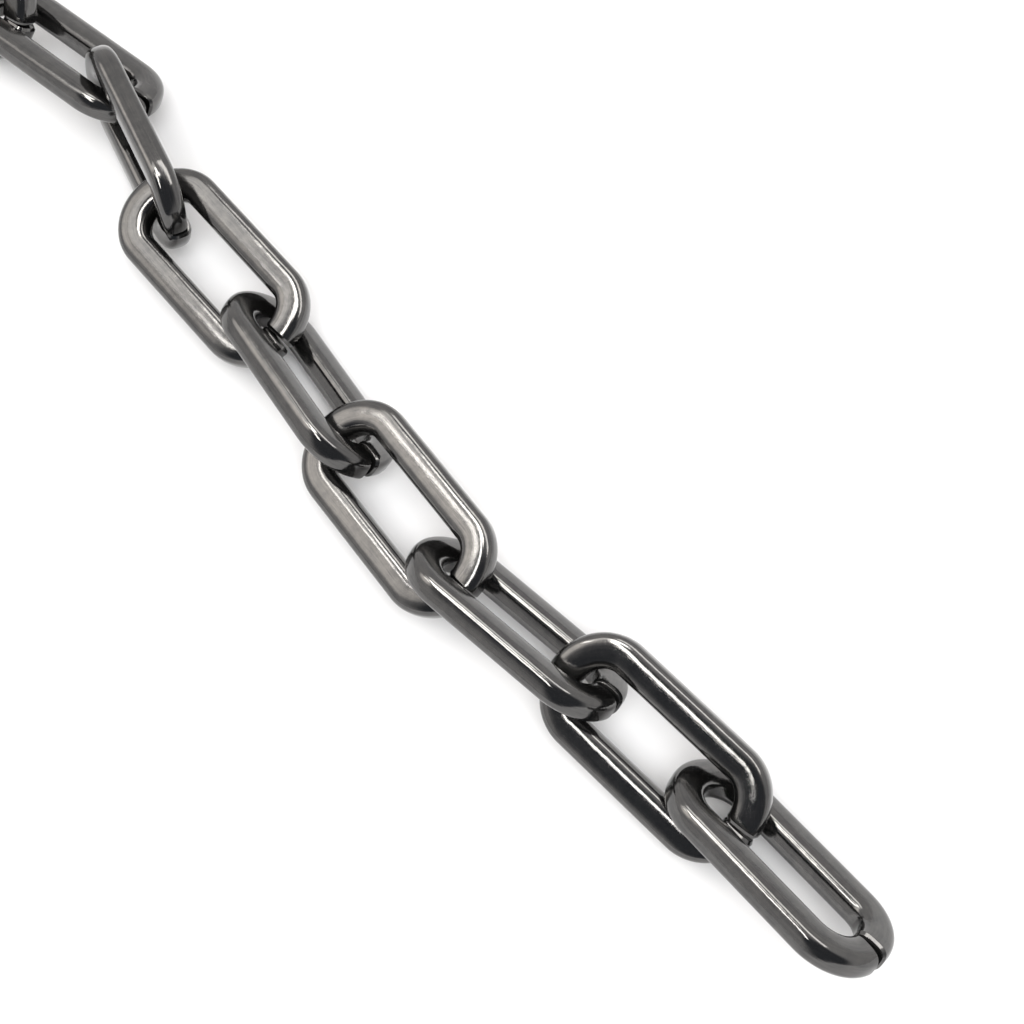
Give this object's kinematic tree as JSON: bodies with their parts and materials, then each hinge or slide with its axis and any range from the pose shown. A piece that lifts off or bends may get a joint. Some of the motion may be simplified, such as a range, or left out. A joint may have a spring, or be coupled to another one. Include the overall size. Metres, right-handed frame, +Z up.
{
  "type": "long-link chain",
  "caption": "Length of polished dark metal chain with long round-ended wire links, lying loosely in a gentle line on a flat surface.",
  "frame": {"origin": "on the surface that the chain lies on, under the middle of its bounding box", "axes": "+X along the chain towards its near end in the picture, +Z up from the surface"},
  "size_m": [0.2938, 0.0184, 0.0113],
  "materials": {
    "plated_steel": "polished black nickel plating"
  },
  "bodies": {
    "link_01": {"link_01": "plated_steel"},
    "link_02": {"link_02": "plated_steel"},
    "link_03": {"link_03": "plated_steel"},
    "link_04": {"link_04": "plated_steel"},
    "link_05": {"link_05": "plated_steel"},
    "link_06": {"link_06": "plated_steel"},
    "link_07": {"link_07": "plated_steel"},
    "link_08": {"link_08": "plated_steel"},
    "link_09": {"link_09": "plated_steel"},
    "link_10": {"link_10": "plated_steel"},
    "link_11": {"link_11": "plated_steel"},
    "link_12": {"link_12": "plated_steel"},
    "link_13": {"link_13": "plated_steel"},
    "link_14": {"link_14": "plated_steel"},
    "link_15": {"link_15": "plated_steel"},
    "link_16": {"link_16": "plated_steel"},
    "link_17": {"link_17": "plated_steel"},
    "link_18": {"link_18": "plated_steel"},
    "link_19": {"link_19": "plated_steel"}
  },
  "joints": [
    {"name": "swing_01_02", "type": "hinge", "parent": "link_01", "child": "link_02", "pos_m": [0.12652, -0.00085, 0.0042], "axis": [-0.0795, 0.4804, -0.8734], "range_deg": [-90, 90]},
    {"name": "swing_02_03", "type": "hinge", "parent": "link_02", "child": "link_03", "pos_m": [0.1129, -0.00221, 0.00522], "axis": [0.0722, -0.691, -0.7192], "range_deg": [-90, 90]},
    {"name": "swing_03_04", "type": "hinge", "parent": "link_03", "child": "link_04", "pos_m": [0.09787, -0.00446, 0.00558], "axis": [-0.0649, -0.3704, 0.9266], "range_deg": [-90, 90]},
    {"name": "swing_04_05", "type": "hinge", "parent": "link_04", "child": "link_05", "pos_m": [0.08277, -0.00273, 0.00475], "axis": [0.0782, 0.7275, 0.6816], "range_deg": [-90, 90]},
    {"name": "swing_05_06", "type": "hinge", "parent": "link_05", "child": "link_06", "pos_m": [0.06777, -0.00032, 0.00422], "axis": [-0.0667, 0.2924, -0.954], "range_deg": [-90, 90]},
    {"name": "swing_06_07", "type": "hinge", "parent": "link_06", "child": "link_07", "pos_m": [0.05271, -0.00062, 0.00557], "axis": [-0.2556, -0.9611, 0.1045], "range_deg": [-90, 90]},
    {"name": "swing_07_08", "type": "hinge", "parent": "link_07", "child": "link_08", "pos_m": [0.03816, 0.00421, 0.00604], "axis": [-0.0509, 0.4995, 0.8648], "range_deg": [-90, 90]},
    {"name": "swing_08_09", "type": "hinge", "parent": "link_08", "child": "link_09", "pos_m": [0.02407, 0.00136, 0.00599], "axis": [0.0914, -0.7833, 0.6148], "range_deg": [-90, 90]},
    {"name": "swing_09_10", "type": "hinge", "parent": "link_09", "child": "link_10", "pos_m": [0.00917, -0.001, 0.0052], "axis": [0.0862, -0.7028, -0.7061], "range_deg": [-90, 90]},
    {"name": "swing_10_11", "type": "hinge", "parent": "link_10", "child": "link_11", "pos_m": [-0.00607, -0.00206, 0.0042], "axis": [-0.0399, 0.706, -0.7071], "range_deg": [-90, 90]},
    {"name": "swing_11_12", "type": "hinge", "parent": "link_11", "child": "link_12", "pos_m": [-0.02154, -0.00294, 0.0042], "axis": [-0.0153, 0.7069, 0.7071], "range_deg": [-90, 90]},
    {"name": "swing_12_13", "type": "hinge", "parent": "link_12", "child": "link_13", "pos_m": [-0.03704, -0.00327, 0.0042], "axis": [-0.0153, -0.7069, 0.7071], "range_deg": [-90, 90]},
    {"name": "swing_13_14", "type": "hinge", "parent": "link_13", "child": "link_14", "pos_m": [-0.05254, -0.00294, 0.0042], "axis": [-0.0399, -0.706, -0.7071], "range_deg": [-90, 90]},
    {"name": "swing_14_15", "type": "hinge", "parent": "link_14", "child": "link_15", "pos_m": [-0.06801, -0.00206, 0.0042], "axis": [0.0493, 0.7054, -0.7071], "range_deg": [-90, 90]},
    {"name": "swing_15_16", "type": "hinge", "parent": "link_15", "child": "link_16", "pos_m": [-0.08347, -0.00098, 0.0042], "axis": [0.0399, 0.706, 0.7071], "range_deg": [-90, 90]},
    {"name": "swing_16_17", "type": "hinge", "parent": "link_16", "child": "link_17", "pos_m": [-0.09895, -0.00011, 0.0042], "axis": [-0.0153, -0.7069, 0.7071], "range_deg": [-90, 90]},
    {"name": "swing_17_18", "type": "hinge", "parent": "link_17", "child": "link_18", "pos_m": [-0.11445, 0.00023, 0.0042], "axis": [0.0153, -0.7069, -0.7071], "range_deg": [-90, 90]},
    {"name": "swing_18_19", "type": "hinge", "parent": "link_18", "child": "link_19", "pos_m": [-0.12994, -0.00011, 0.0042], "axis": [-0.0399, 0.706, -0.7071], "range_deg": [-90, 90]}
  ]
}
